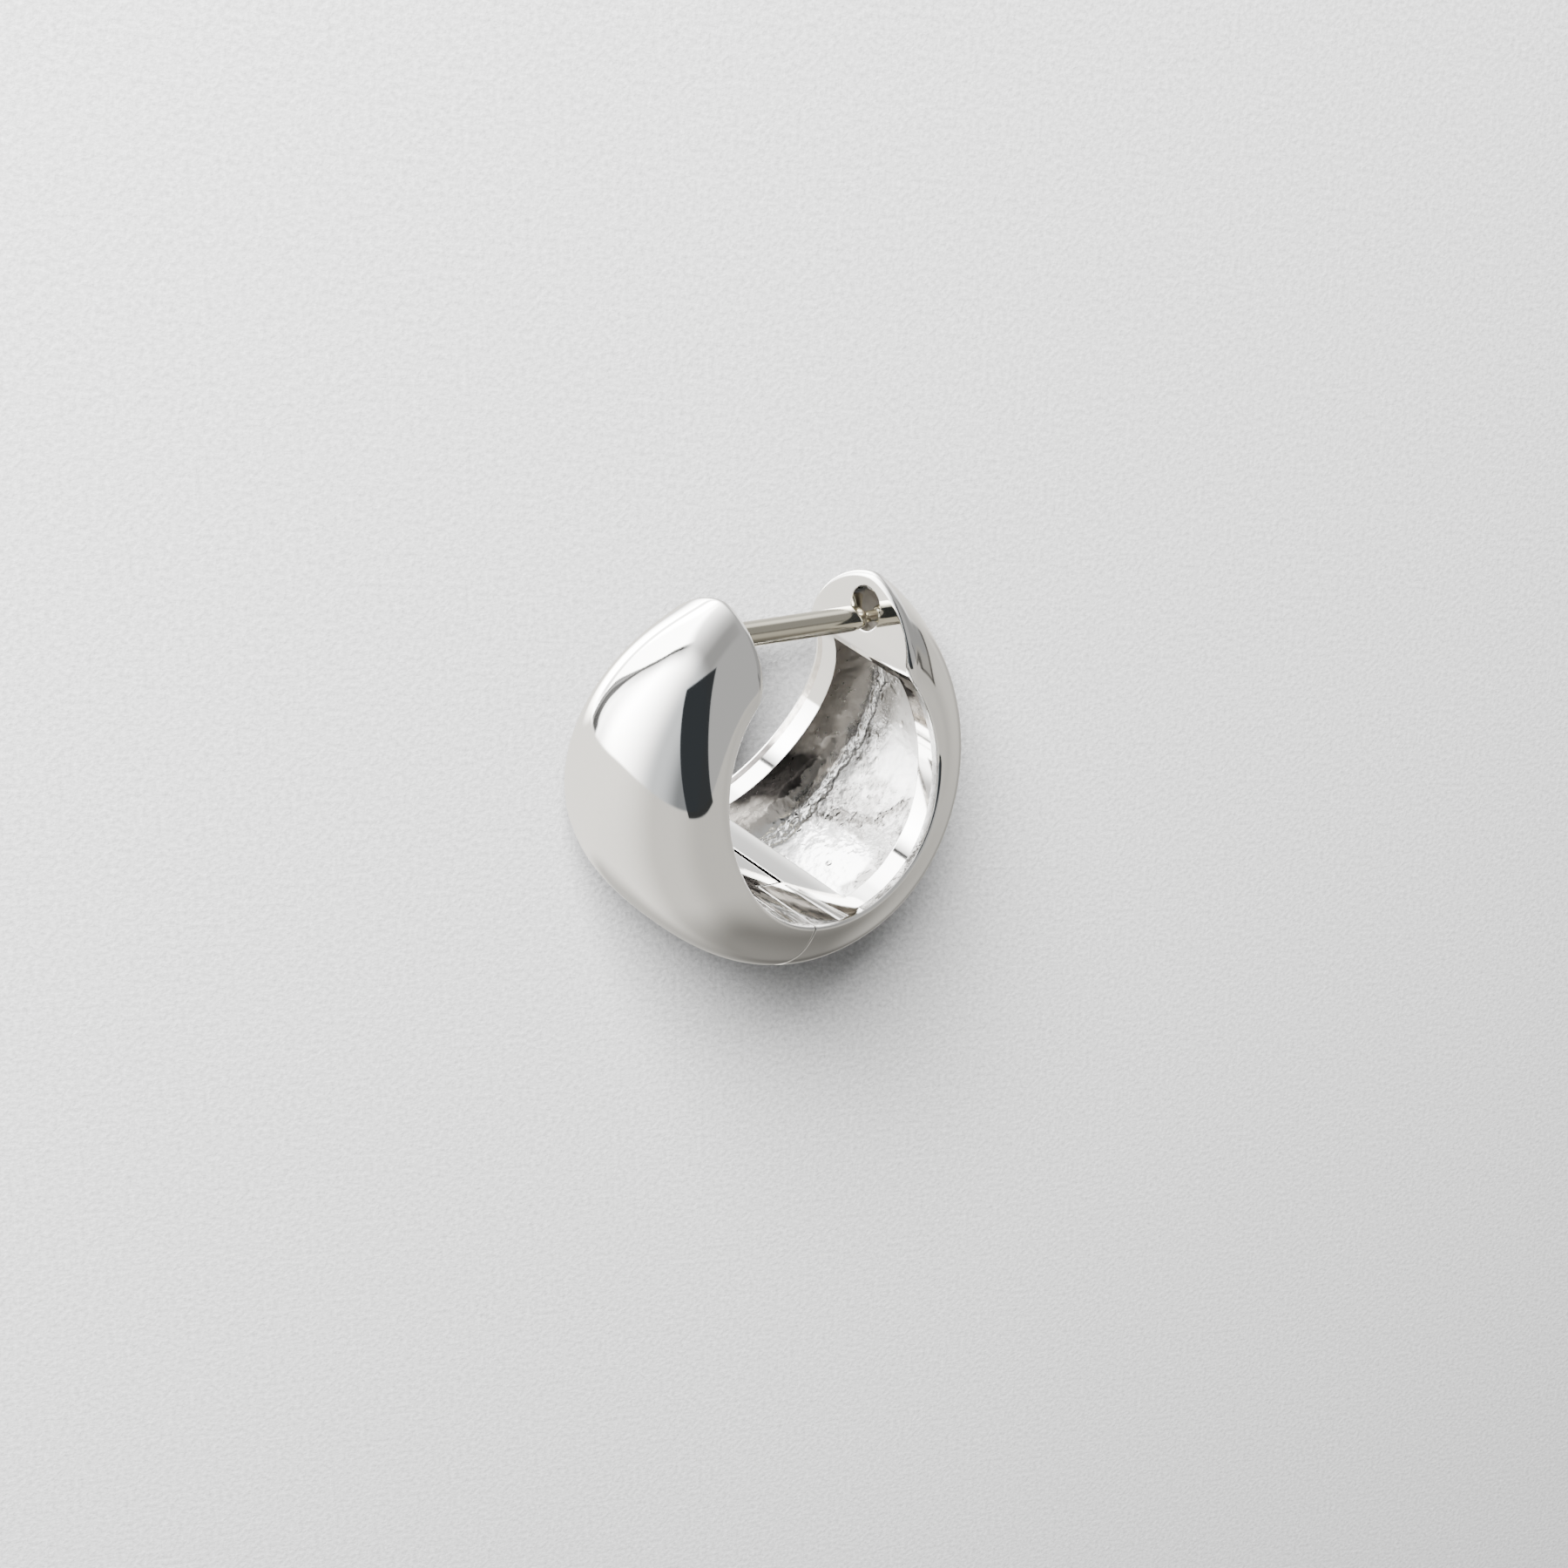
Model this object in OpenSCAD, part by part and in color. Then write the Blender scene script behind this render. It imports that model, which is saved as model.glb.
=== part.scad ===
// Domed huggie earring: two hollow silver half shells, a bottom hinge and a straight gold post.
// The hoop is drawn in its own plane, x to the back, y up to the post and z to the near side,
// and then laid on its far side, where it rests by itself.

/* [Hoop] */
// Radius of the inner face
hoop_r = 4.75; // [4.2:0.05:5.5]
// Distance of each end plate's face from the middle of the hoop
plate_x = 3.27; // [2.8:0.05:3.6]
// Mean half width of the rim
rim_mean = 3.70; // [3.4:0.05:4.2]
// How much wider the rim is at the bottom than at the sides
rim_swing = 1.16; // [0.6:0.05:1.4]
// Mean height of the dome over the inner face
dome_mean = 2.37; // [2.1:0.05:2.8]
// Extra height of the dome at the bottom
dome_bottom = 0.18; // [0:0.02:0.3]
// How much the back tip stands over the front tip, each way from the middle
tip_offset = 0.11; // [0:0.01:0.2]
// Fullness of the dome's section at the bottom, where 2 is an ellipse
fullness_bottom = 2.5; // [2:0.1:3]
// Fullness of the dome's section at the end plates
fullness_tip = 1.65; // [1.5:0.05:2.2]

/* [Pocket] */
// Width of the flat flange on each side of the cast pocket
flange_w = 1.15; // [1:0.05:1.4]
// Thickness of the dome over the pocket
wall_t = 0.55; // [0.45:0.05:0.7]
// Thickness of the end plates
plate_t = 0.55; // [0.5:0.05:0.7]
// Angle from the bottom to the pocket's lower edge
pocket_low_a = 19.5; // [18:0.5:28]

/* [Post and slot] */
// Radius of the ear post
post_r = 0.45; // [0.4:0.05:0.5]
// Height of the post's axis over the middle of the hoop
post_y = 4.5; // [4.4:0.05:4.7]
// Distance from the middle at which the post starts to narrow
post_full_x = 2.62; // [2.2:0.02:2.7]
// Radius of the neck at the end plate
neck_r = 0.20; // [0.16:0.02:0.3]
// Radius of the round head behind the plate
head_r = 0.36; // [0.3:0.02:0.4]
// Half width of the slot in the back end plate
slot_r = 0.78; // [0.7:0.02:0.84]
// How far the slot's upper end is raised for the swing of the post
slot_rise = 0.38; // [0.3:0.02:0.45]

/* [Hinge] */
// Place of the hinge pin's axis to the front of the middle
pivot_back = 1.0; // [0.9:0.02:1.1]
// Place of the hinge pin's axis under the middle
pivot_down = 6.35; // [6.3:0.01:6.4]
// Radius of the knuckles
knuckle_r = 0.72; // [0.68:0.01:0.74]
// Half length of the middle knuckle
middle_half = 1.42; // [1.2:0.02:1.5]
// Distance from the middle to the outer end of the side knuckles
side_end = 2.3; // [2.1:0.05:2.4]
// Radius of the hinge pin
pin_r = 0.30; // [0.25:0.01:0.35]
// Angle through which the hinge opens
open_a = 45; // [30:1:50]
// Gap between the two shells along the seam
seam_gap = 0.06; // [0.04:0.01:0.1]

/* [Hidden] */
// Lean of the hoop's plane as it lies on its far side, and the place of its middle over the surface
rest_tilt = 14.1;
rest_place = [-0.033, 0.705, 3.671];

// Smaller terms of the rim and dome curves
rim_wave_2 = -0.04;
rim_wave_3 = -0.08;
dome_wave_2 = 0.10;
tip_blend_from = 55;
tip_blend_span = 65;
pocket_fullness = 3.2;

// Clearances of the hinge and the post
knuckle_gap = 0.08;
end_gap = 0.06;
bore_gap = 0.03;
seat_gap = 0.01;
relief_margin = 1.5;

// The seam leaves the inner face here and runs down to the pin's axis
seam_top_x = -0.60;
tongue_x = 0.40;
tongue_gap = 0.10;
tongue_floor = -5.65;
// The groove beside each side knuckle is a slim cone that widens and drifts back towards the rim
groove_start = [0.50, -4.73, 1.70];
groove_end = [0.80, -4.68, 4.52];
groove_r = [0.03, 0.22];

// Steps of the two lofted shells
cap_steps = 6;
pocket_steps = 20;
plate_steps = 2;
dome_steps = 28;
hollow_steps = 12;
$fn = 64;

// Places of the lofts' free ends, beyond the seam, and the lap by which cuts overlap
back_start_a = -20;
front_start_a = -12;
lap = 0.01;
wedge_steps = 12;
neck_run = 0.62;
head_x = plate_x + 0.85;

pivot = [-pivot_back, -pivot_down];
seam_a = atan2(pivot_down - hoop_r, pivot_back + seam_top_x);
relief_a = 180 + atan2(pivot_down, pivot_back);
relief_half = open_a / 2 + relief_margin;
plate_back_x = plate_x + plate_t;
far = 20;

// An S-shaped blend from 0 to 1
function blend(u) = let (v = min(max(u, 0), 1)) v * v * (3 - 2 * v);
function signed_pow(v, e) = sign(v) * pow(abs(v), e);

// Rim half width and dome height at an angle from the bottom, with tip the end's own extra height
function rim_w(a) = rim_mean + rim_swing * cos(a) + rim_wave_2 * cos(2 * a) + rim_wave_3 * cos(3 * a);
function dome_h(a, tip) = dome_mean + dome_bottom * cos(a) + dome_wave_2 * cos(2 * a)
    + tip * blend((a - tip_blend_from) / tip_blend_span);

// A station is a flat section of the shell: it starts at angle a on the inner face and points outward,
// radial over most of the hoop and turned upright behind the end plate
plate_a = 180 - asin(plate_x / hoop_r);
plate_back_a = 180 - asin(plate_back_x / hoop_r);
function turned(a) = blend((a - tip_blend_from) / (plate_back_a - tip_blend_from));
function lean(a) = a + (180 - a) * turned(a);
function base(a) = [hoop_r * sin(a), -hoop_r * cos(a)];
function outward(a) = [sin(lean(a)), -cos(lean(a))];
function reach(b, d, r) = -(b * d) + sqrt(pow(b * d, 2) - hoop_r * hoop_r + r * r);
function at_height(a, h) = base(a) + outward(a) * reach(base(a), outward(a), hoop_r + h);
function fullness(a) = fullness_bottom + (fullness_tip - fullness_bottom) * turned(a);

// Points of the dome over a station, from the near rim to the far rim
function dome_point(a, f, tip) = let (
    n = fullness(a),
    p = at_height(a, dome_h(a, tip) * pow(max(sin(f), 0), 2 / n)))
    [p.x, p.y, rim_w(a) * signed_pow(cos(f), 2 / n)];
function dome_row(a, tip) = [for (i = [0:dome_steps]) dome_point(a, 180 * i / dome_steps, tip)];

// Points of the inner face, from the far edge of the pocket to its near edge, sunk by a share of its depth
function hollow_point(a, f, tip, share) = let (
    n = pocket_fullness,
    p = at_height(a, share * (dome_h(a, tip) - wall_t) * pow(max(sin(f), 0), 2 / n)))
    [p.x, p.y, -(rim_w(a) - flange_w) * signed_pow(cos(f), 2 / n)];
function hollow_row(a, tip, share) =
    [for (i = [0:hollow_steps]) hollow_point(a, 180 * i / hollow_steps, tip, share)];

function row(a, tip, share) = concat(dome_row(a, tip), hollow_row(a, tip, share));
function span(from, to, steps) = [for (i = [0:steps]) from + (to - from) * i / steps];

// One half of the hoop as a closed loft from a start angle round to its end plate, with its pocket
module half_shell(start_a, tip) {
    rows = concat(
        [for (a = span(start_a, pocket_low_a, cap_steps)) row(a, tip, 0)],
        [for (a = span(pocket_low_a, plate_back_a, pocket_steps)) row(a, tip, 1)],
        [for (a = span(plate_back_a, plate_a, plate_steps)) row(a, tip, 0)]);
    per_row = dome_steps + hollow_steps + 2;
    last = len(rows) - 1;
    // The rows on both sides of each end wall of the pocket share all but their sunk points
    doubles = [cap_steps + 1, cap_steps + pocket_steps + 2];
    function sunk(k) = k > dome_steps + 1 && k < per_row - 1;
    function id(r, k) = (sunk(k) || (r != doubles[0] && r != doubles[1]) ? r : r - 1) * per_row + k;
    sides = [for (r = [0:last - 1]) for (k = [0:per_row - 1]) let (m = (k + 1) % per_row)
        each [[id(r, m), id(r, k), id(r + 1, m)], [id(r + 1, m), id(r, k), id(r + 1, k)]]];
    // Each end face is listed from the dome's top, opposite the straight inner face
    ends = [[for (k = [0:per_row - 1]) (k + dome_steps / 2) % per_row],
        [for (k = [per_row - 1:-1:0]) last * per_row + (k + dome_steps / 2) % per_row]];
    real_sides = [for (t = sides) if (t[0] != t[1] && t[1] != t[2] && t[2] != t[0]) t];
    polyhedron(points = [for (r = rows) each r], faces = concat(real_sides, ends));
}

// A flat shape in the hoop's plane, drawn out along the hinge pin
module along_hinge(from, to) {
    translate([0, 0, from]) linear_extrude(height = to - from) children();
}

module on_both_sides(from, to) {
    along_hinge(from, to) children();
    along_hinge(-to, -from) children();
}

// All directions from the pin's axis between two angles
module wedge(from, to) {
    translate(pivot) polygon(concat([[0, 0]], [for (a = span(from, to, wedge_steps)) far * [cos(a), sin(a)]]));
}

// What each half gives up beside the seam and its outer relief
module seam_side(from, to, side) {
    translate(side * seam_gap / 2 * [cos(seam_a - 90), sin(seam_a - 90)]) wedge(from, to);
}
module front_side() { seam_side(seam_a, relief_a + relief_half, 1); }
module back_side() { seam_side(relief_a - relief_half - 360, seam_a, -1); }

// Section of the middle knuckle with the tongue that joins it to the front shell's inner face
module tongue(gap) {
    r = knuckle_r + gap;
    corner = [tongue_x + gap, tongue_floor - gap] - pivot;
    touch_a = atan2(corner.y, corner.x) - acos(r / norm(corner));
    translate(pivot) {
        circle(r = r);
        polygon([[0, 0], r * [cos(touch_a), sin(touch_a)], corner, [corner.x, far / 4], [-pivot_back, far / 4]]);
    }
}

module knuckle(gap) {
    translate(pivot) circle(r = knuckle_r + gap);
}

module pin_bore() {
    along_hinge(-side_end - end_gap / 2, side_end + end_gap / 2) translate(pivot) circle(r = pin_r + bore_gap);
}

module groove() {
    run = groove_end - groove_start;
    translate(groove_start) rotate([0, acos(run.z / norm(run)), atan2(run.y, run.x)])
        cylinder(r1 = groove_r[0], r2 = groove_r[1], h = norm(run));
}

// A round rod along x at the height of the post
module rod_x(from, to, r, y) {
    translate([from, y, 0]) rotate([0, 90, 0]) cylinder(r = r, h = to - from);
}

// Laid on its far side: the whole hoop leans by the rest angle
module lay_down() {
    translate(rest_place) rotate([-rest_tilt, 0, 0]) children();
}

// Back half: domed hollow casting with the slotted end plate and the two side knuckles
module back_shell() {
    color([0.86, 0.86, 0.85]) lay_down() difference() {
        half_shell(back_start_a, tip_offset);
        along_hinge(-middle_half - end_gap, middle_half + end_gap) {
            front_side();
            knuckle(knuckle_gap);
            tongue(tongue_gap);
        }
        on_both_sides(middle_half + end_gap - lap, side_end) difference() {
            front_side();
            knuckle(0);
        }
        on_both_sides(side_end - lap, far) front_side();
        pin_bore();
        groove();
        mirror([0, 0, 1]) groove();
        for (y = [post_y, post_y + slot_rise]) rod_x(plate_x - 1, plate_back_x + lap, slot_r, y);
        translate([plate_x - 1, post_y, -slot_r]) cube([plate_t + 1 + lap, slot_rise, 2 * slot_r]);
    }
}

// Front half: domed hollow casting with the post's end plate and the middle knuckle
module front_shell() {
    color([0.80, 0.80, 0.79]) lay_down() difference() {
        mirror([1, 0, 0]) half_shell(front_start_a, -tip_offset);
        along_hinge(-middle_half, middle_half) difference() {
            back_side();
            tongue(0);
        }
        on_both_sides(middle_half, side_end + end_gap) {
            back_side();
            knuckle(knuckle_gap);
        }
        on_both_sides(side_end + end_gap - lap, far) back_side();
        pin_bore();
    }
}

// Gold ear post: soldered end on to the front plate, straight, then a thin neck through the slot and a small head
module ear_post() {
    // The neck is one concave quarter curve from the full radius to the neck's radius
    taper = post_r - neck_r;
    curve = [for (a = [0:10:90]) [post_r - taper * (1 - cos(a)), post_full_x + neck_run * sin(a)]];
    color([0.80, 0.76, 0.64]) lay_down() translate([0, post_y, 0]) rotate([0, 90, 0]) {
        rotate_extrude() polygon(concat([[0, seat_gap - plate_x], [post_r, seat_gap - plate_x]], curve,
            [[neck_r, head_x], [0, head_x]]));
        translate([0, 0, head_x]) sphere(r = head_r);
    }
}

// Plain hinge pin through the three knuckles
module hinge_pin() {
    color([0.70, 0.70, 0.70]) lay_down() along_hinge(-side_end, side_end) translate(pivot) circle(r = pin_r);
}

back_shell();
front_shell();
ear_post();
hinge_pin();
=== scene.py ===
import bpy
import bmesh
import math
import numpy as np
from mathutils import Matrix, Vector


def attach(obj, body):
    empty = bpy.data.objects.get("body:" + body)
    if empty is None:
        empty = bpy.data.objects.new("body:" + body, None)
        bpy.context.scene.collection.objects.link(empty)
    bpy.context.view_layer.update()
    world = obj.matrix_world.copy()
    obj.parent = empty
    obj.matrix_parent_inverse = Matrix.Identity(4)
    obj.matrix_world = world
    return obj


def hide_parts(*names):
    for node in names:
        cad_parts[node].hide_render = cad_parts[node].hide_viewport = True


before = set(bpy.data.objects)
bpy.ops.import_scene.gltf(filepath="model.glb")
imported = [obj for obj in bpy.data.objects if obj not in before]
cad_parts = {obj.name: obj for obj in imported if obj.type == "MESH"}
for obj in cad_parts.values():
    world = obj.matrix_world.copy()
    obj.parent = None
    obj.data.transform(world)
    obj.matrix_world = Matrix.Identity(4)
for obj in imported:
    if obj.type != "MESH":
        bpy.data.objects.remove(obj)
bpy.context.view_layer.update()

# Back shell. The back half of the hoop is one hollow silver casting. It is domed and mirror polished
# outside, with a rough cast pocket on its inner face and a slotted end plate at the top. The two side
# knuckles and the grooves of the hinge are cut into its lower end.

# The hoop is drawn in its own plane in millimetres, x to the back and y up to the post, and then laid down
MM = 0.001
HOOP_LEAN = math.radians(14.1)
HOOP_MIDDLE = (-0.033, 0.705, 3.671)
HOOP_TO_ROW = (Matrix.Scale(MM, 4) @ Matrix.Translation(HOOP_MIDDLE) @ Matrix.Rotation(-HOOP_LEAN, 4, "X"))

# Sizes of the hoop, in millimetres and radians
HOOP_R = 4.75
PLATE_X = 3.27
PLATE_T = 0.55
POST_Y = 4.5
PIN = (-1.0, -6.35)
FLANGE_W = 1.15
WALL_T = 0.55
RIM_ROUND = 0.13
PLATE_ROUND = 0.34
CAST_RELIEF = 0.035
LUMP_SCALE = 0.9
CRAG_SCALE = 2.4
CRAG_STRETCH = 0.3
TIP_HEIGHT = 0.11
POCKET_FULLNESS = 3.2
POCKET_LOW = math.radians(19.5)
POCKET_END = math.radians(0.5)
END_SHARES = (0.04, 0.35)
LEAN_FROM = math.radians(55)
TIP_SPAN = math.radians(65)
PLATE_A = math.pi - math.asin(PLATE_X / HOOP_R)
PLATE_BACK_A = math.pi - math.asin((PLATE_X + PLATE_T) / HOOP_R)

# How finely the shells are drawn: stations round the hoop, and points round the section
BEHIND_SEAM_STEPS = 34
POCKET_STEPS = 112
PLATE_STEPS = 5
ROUND_STEPS = 13
DOME_STEPS = 132
FLANGE_STEPS = 4
HOLLOW_STEPS = 56
DOME_CROWDING = 0.93
HOLLOW_CROWDING = 0.75
CLOSING_INSET = 0.04
SHARP_A = math.radians(28)


class Number:
    """A number in a node tree, so that the hoop's rules can be written as plain sums."""

    def __init__(self, tree, socket):
        self.tree = tree
        self.socket = socket

    def step(self, operation, *others):
        return worked_out(self.tree, operation, self, *others)

    def __add__(self, other):
        return self.step("ADD", other)

    def __radd__(self, other):
        return self.step("ADD", other)

    def __sub__(self, other):
        return self.step("SUBTRACT", other)

    def __rsub__(self, other):
        return worked_out(self.tree, "SUBTRACT", other, self)

    def __mul__(self, other):
        return self.step("MULTIPLY", other)

    def __rmul__(self, other):
        return self.step("MULTIPLY", other)

    def __truediv__(self, other):
        return self.step("DIVIDE", other)

    def __rtruediv__(self, other):
        return worked_out(self.tree, "DIVIDE", other, self)

    def sin(self):
        return self.step("SINE")

    def cos(self):
        return self.step("COSINE")

    def absolute(self):
        return self.step("ABSOLUTE")

    def root(self):
        return self.at_least(0.0).step("SQRT")

    def power(self, other):
        return self.at_least(0.0).step("POWER", other)

    def at_most(self, other):
        return self.step("MINIMUM", other)

    def at_least(self, other):
        return self.step("MAXIMUM", other)

    def signed_power(self, other):
        return self.step("SIGN") * self.absolute().step("POWER", other)

    def blend(self):
        """Eased from 0 to 1."""
        share = self.at_least(0.0).at_most(1.0)
        return share * share * (3 - 2 * share)

    def rise(self, start, span):
        """0 up to the start, and 1 a span later."""
        return ((self - start) / span).blend()

    def fall(self, end, span):
        """0 from the end on, and 1 a span before it."""
        return ((end - self) / span).blend()


def plug(tree, value, socket):
    """A number or a plain value put into a socket."""
    if isinstance(value, Number):
        tree.links.new(value.socket, socket)
    else:
        socket.default_value = value


def worked_out(tree, operation, *values):
    node = tree.nodes.new("ShaderNodeMath")
    node.operation = operation
    for value, socket in zip(values, node.inputs):
        plug(tree, value, socket)
    return Number(tree, node.outputs[0])


def at_xyz(tree, *numbers):
    node = tree.nodes.new("ShaderNodeCombineXYZ")
    for i, number in enumerate(numbers):
        plug(tree, number, node.inputs[i])
    return node.outputs[0]


def noise(tree, where, scale, detail, rough=0.5):
    node = tree.nodes.new("ShaderNodeTexNoise")
    tree.links.new(where, node.inputs["Vector"])
    plug(tree, scale, node.inputs["Scale"])
    node.inputs["Detail"].default_value = detail
    node.inputs["Roughness"].default_value = rough
    return Number(tree, node.outputs[0])


def add_input(tree, name, value, kind="NodeSocketFloat"):
    socket = tree.interface.new_socket(name, in_out="INPUT", socket_type=kind)
    if value is not None:
        socket.default_value = value


def attribute(tree, name):
    node = tree.nodes.new("GeometryNodeInputNamedAttribute")
    node.data_type = "FLOAT"
    node.inputs["Name"].default_value = name
    return Number(tree, node.outputs["Attribute"])


def with_material(tree, geometry, material, chosen=None):
    node = tree.nodes.new("GeometryNodeSetMaterial")
    tree.links.new(geometry, node.inputs["Geometry"])
    tree.links.new(material, node.inputs["Material"])
    if chosen is not None:
        tree.links.new(chosen.socket, node.inputs["Selection"])
    return node.outputs[0]


# The rule of the hoop: every point is placed by its station round the hoop and its turn round the section
def hoop_rule():
    tree = bpy.data.node_groups.new("domed hoop", "GeometryNodeTree")
    add_input(tree, "Geometry", None, "NodeSocketGeometry")
    sizes = {
        "Hoop Radius": HOOP_R, "Rim Mean": 3.70, "Rim Swing": 1.16, "Rim Second": 0.04, "Rim Third": 0.08,
        "Dome Mean": 2.37, "Dome Bottom": 0.18, "Dome Second": 0.10, "Tip Height": TIP_HEIGHT,
        "Fullness Bottom": 2.5, "Fullness Tip": 1.65, "Flange Width": FLANGE_W, "Wall": WALL_T,
        "Rim Round": RIM_ROUND, "Plate Back Angle": PLATE_BACK_A, "Cast Relief": CAST_RELIEF,
    }
    for name, value in sizes.items():
        add_input(tree, name, value)
    add_input(tree, "Polished", None, "NodeSocketMaterial")
    add_input(tree, "As Cast", None, "NodeSocketMaterial")
    tree.interface.new_socket("Geometry", in_out="OUTPUT", socket_type="NodeSocketGeometry")
    given = tree.nodes.new("NodeGroupInput")
    size = {name: Number(tree, given.outputs[name]) for name in sizes}
    radius = size["Hoop Radius"]
    a, turn = attribute(tree, "station"), attribute(tree, "turn")
    inner, edge = attribute(tree, "inner"), attribute(tree, "edge")
    sink, inset = attribute(tree, "sink"), attribute(tree, "inset")

    rim = (size["Rim Mean"] + size["Rim Swing"] * a.cos() - size["Rim Second"] * (2 * a).cos()
           - size["Rim Third"] * (3 * a).cos()) - inset
    dome = (size["Dome Mean"] + size["Dome Bottom"] * a.cos() + size["Dome Second"] * (2 * a).cos()
            + size["Tip Height"] * a.rise(LEAN_FROM, TIP_SPAN))
    turned = a.rise(LEAN_FROM, size["Plate Back Angle"] - LEAN_FROM)
    lean = a + (math.pi - a) * turned
    full = size["Fullness Bottom"] + (size["Fullness Tip"] - size["Fullness Bottom"]) * turned

    # The dome: a superellipse over the inner face, with a small round where it meets the rim's edge
    lift = (dome - 2 * inset) * turn.sin().power(2 / full)
    short = (size["Rim Round"] - lift).at_least(0.0)
    corner = size["Rim Round"] - (size["Rim Round"] * size["Rim Round"] - short * short).root()
    z_dome = rim * turn.cos().signed_power(2 / full) - corner * turn.cos().step("SIGN")

    # The inner face: two flat flanges and the pocket between them, which is left a little uneven as cast
    z_inner = ((size["Flange Width"] - rim) * turn.cos().signed_power(2 / POCKET_FULLNESS)
               - edge * (size["Flange Width"] - size["Rim Round"]))
    lumps = noise(tree, at_xyz(tree, a * radius, z_inner), LUMP_SCALE, 2.5, 0.55)
    crags = noise(tree, at_xyz(tree, a * radius * CRAG_STRETCH, z_inner), CRAG_SCALE, 1.5)
    far_wall = turn.cos().rise(0.35, 0.4)
    hollow = turn.sin().power(2 / POCKET_FULLNESS)
    uneven = (lumps - 0.5) + (crags - 0.5) * (0.25 + 0.8 * far_wall)
    depth = sink * ((dome - size["Wall"]) * hollow + uneven * size["Cast Relief"] * 4 * hollow)

    # A point stands out from its station along the lean, as far as it takes to be its height off the hoop
    height = (lift + (depth - lift) * inner) + inset
    z = z_dome + (z_inner - z_dome) * inner
    along = radius * (lean - a).cos()
    reach = (along * along + height * (2 * radius + height)).root() - along
    x = radius * a.sin() + reach * lean.sin()
    y = radius * a.cos() * -1 - reach * lean.cos()
    put = tree.nodes.new("GeometryNodeSetPosition")
    tree.links.new(given.outputs["Geometry"], put.inputs["Geometry"])
    tree.links.new(at_xyz(tree, x, y, z), put.inputs["Position"])
    real = tree.nodes.new("GeometryNodeRealizeInstances")
    tree.links.new(put.outputs[0], real.inputs[0])
    in_pocket = (sink * inner).step("GREATER_THAN", 0.3) * turn.sin().step("GREATER_THAN", 0.002)
    polished = with_material(tree, real.outputs[0], given.outputs["Polished"])
    cast = with_material(tree, polished, given.outputs["As Cast"], in_pocket)
    tree.links.new(cast, tree.nodes.new("NodeGroupOutput").inputs[0])
    return tree


def settle(obj):
    """The object with its modifiers turned into one plain mesh."""
    bpy.context.view_layer.update()
    done = bpy.data.meshes.new_from_object(obj.evaluated_get(bpy.context.evaluated_depsgraph_get()))
    obj.modifiers.clear()
    obj.data = done
    return obj


def new_piece(name, verts, faces):
    mesh = bpy.data.meshes.new(name)
    mesh.from_pydata(verts, [], faces)
    mesh.update()
    obj = bpy.data.objects.new(name, mesh)
    bpy.context.scene.collection.objects.link(obj)
    return obj


def stations(start):
    """The stations of a half shell, from behind the seam round to its end plate: (angle, sink, inset)."""
    pocket_first, pocket_last = POCKET_LOW + POCKET_END, PLATE_BACK_A - POCKET_END
    rows = [(a, 0.0, 0.0) for a in np.linspace(start, POCKET_LOW, BEHIND_SEAM_STEPS)]
    rows += [(POCKET_LOW + POCKET_END * s, s ** 0.5, 0.0) for s in END_SHARES]
    rows += [(a, 1.0, 0.0) for a in np.linspace(pocket_first, pocket_last, POCKET_STEPS)]
    rows += [(PLATE_BACK_A - POCKET_END * s, s ** 0.5, 0.0) for s in reversed(END_SHARES)]
    rows += [(PLATE_BACK_A, 0.0, 0.0)]
    for x in np.linspace(PLATE_X + PLATE_T, PLATE_X + PLATE_ROUND, PLATE_STEPS)[1:]:
        rows.append((math.pi - math.asin(x / HOOP_R), 0.0, 0.0))
    for turned in np.radians(np.linspace(0, 90, ROUND_STEPS)[1:]):
        x = PLATE_X + PLATE_ROUND * (1 - math.sin(turned))
        rows.append((math.pi - math.asin(x / HOOP_R), 0.0, PLATE_ROUND * (1 - math.cos(turned))))
    rows.append((PLATE_A, 0.0, PLATE_ROUND + CLOSING_INSET))
    return rows


def section():
    """One turn round the section, the dome and then the inner face back again: (turn, inner, edge)."""
    def crowded(share, crowding):
        return math.pi * (share - crowding * math.sin(2 * math.pi * share) / (2 * math.pi))

    points = [(crowded(i / DOME_STEPS, DOME_CROWDING), 0, 0.0) for i in range(DOME_STEPS + 1)]
    points += [(0.0, 1, 1 - i / FLANGE_STEPS) for i in range(1, FLANGE_STEPS + 1)]
    points += [(crowded(i / HOLLOW_STEPS, HOLLOW_CROWDING), 1, 0.0) for i in range(1, HOLLOW_STEPS + 1)]
    points += [(math.pi, 1, -i / FLANGE_STEPS) for i in range(1, FLANGE_STEPS)]
    return points


def half_shell(name, start, tip, rule, polished, as_cast):
    rows, ring = stations(start), section()
    n = len(ring)
    faces = [(r * n + k, (r + 1) * n + k, (r + 1) * n + (k + 1) % n, r * n + (k + 1) % n)
             for r in range(len(rows) - 1) for k in range(n)]
    faces += [tuple(range(n)), tuple(range(len(rows) * n - 1, (len(rows) - 1) * n - 1, -1))]
    obj = new_piece(name, [(0, 0, 0)] * (len(rows) * n), faces)
    marks = {"station": [], "sink": [], "inset": [], "turn": [], "inner": [], "edge": []}
    for row in rows:
        for point in ring:
            for values, value in zip(marks.values(), row + point):
                values.append(value)
    for key, values in marks.items():
        obj.data.attributes.new(key, "FLOAT", "POINT").data.foreach_set("value", values)
    made = obj.modifiers.new("hoop", "NODES")
    made.node_group = rule
    ids = {s.name: s.identifier for s in rule.interface.items_tree if s.in_out == "INPUT"}
    made[ids["Tip Height"]] = tip
    made[ids["Polished"]] = polished
    made[ids["As Cast"]] = as_cast
    settle(obj)
    for key in marks:
        obj.data.attributes.remove(obj.data.attributes[key])
    return obj


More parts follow.
